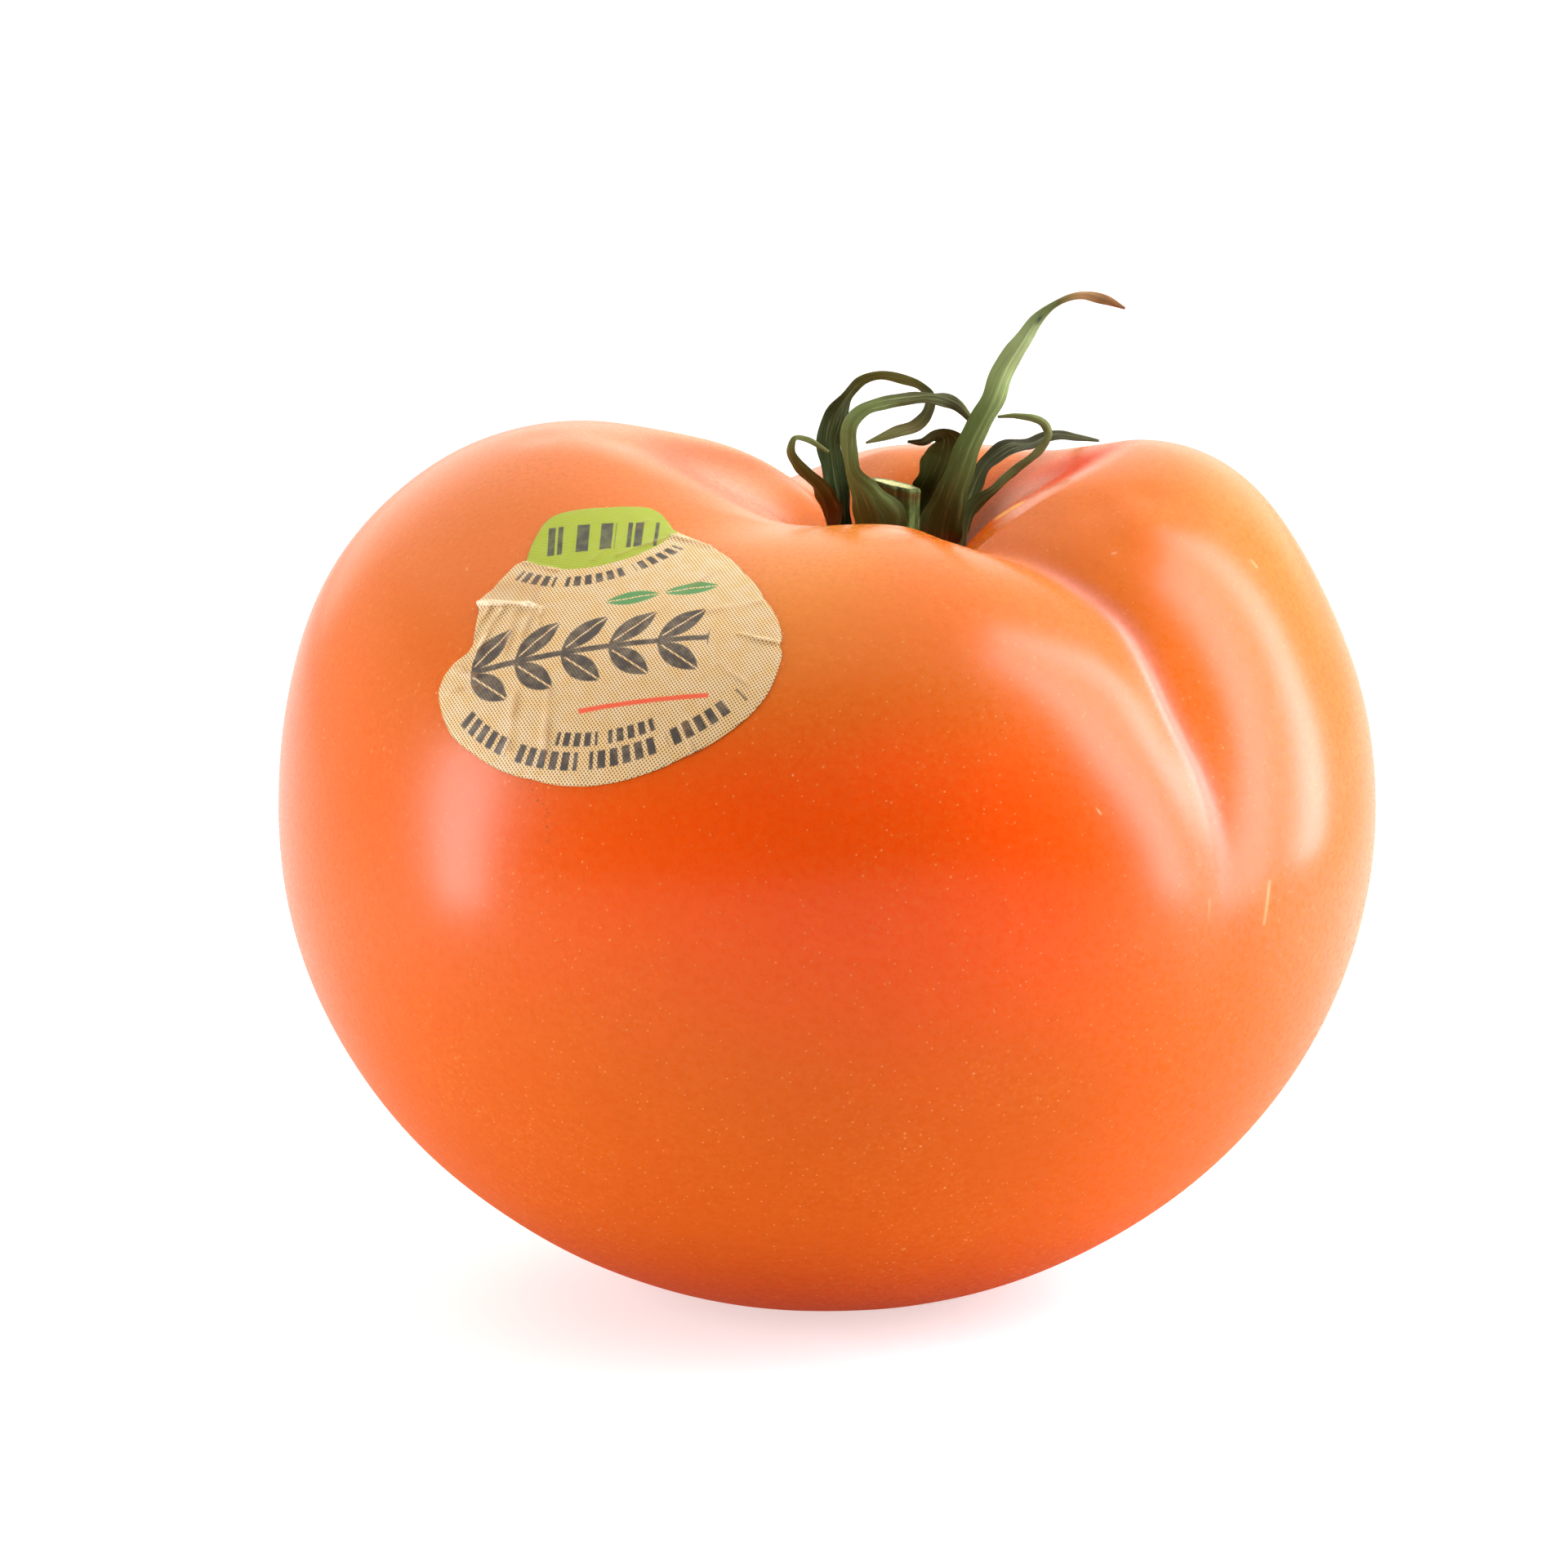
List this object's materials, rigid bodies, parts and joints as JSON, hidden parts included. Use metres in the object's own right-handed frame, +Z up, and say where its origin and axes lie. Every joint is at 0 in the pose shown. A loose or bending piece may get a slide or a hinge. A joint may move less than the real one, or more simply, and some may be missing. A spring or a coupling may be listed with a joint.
{
  "type": "fresh beefsteak tomato",
  "caption": "Ripe lobed tomato with a dried green calyx, a cut stem stub in its dimple and a small oval paper label on the front shoulder.",
  "frame": {"origin": "middle of the small flat spot the fruit rests on", "axes": "+Z up through the fruit, -Y towards the labelled front, +X towards the smaller shoulder"},
  "size_m": [0.0892, 0.0837, 0.0816],
  "materials": {
    "fruit": "ripe tomato skin, waxy and smooth, orange-red",
    "stem": "green stem with a pale cut face",
    "sepal_tall": "drying green sepal with a brown tip",
    "sepal_arch": "drying green sepal",
    "sepal_curl": "dark curled sepal",
    "sepal_left": "sepal, brown-red at its base",
    "sepal_hook": "dark green sepal",
    "sepal_right": "thin drying sepal",
    "sepal_back": "dark dried sepal",
    "label": "tan paper label, plain print"
  },
  "bodies": {
    "root": {"fruit": "fruit", "stem": "stem", "sepal_tall": "sepal_tall", "sepal_arch": "sepal_arch", "sepal_curl": "sepal_curl", "sepal_left": "sepal_left", "sepal_hook": "sepal_hook", "sepal_right": "sepal_right", "sepal_back": "sepal_back", "label": "label"}
  },
  "joints": []
}
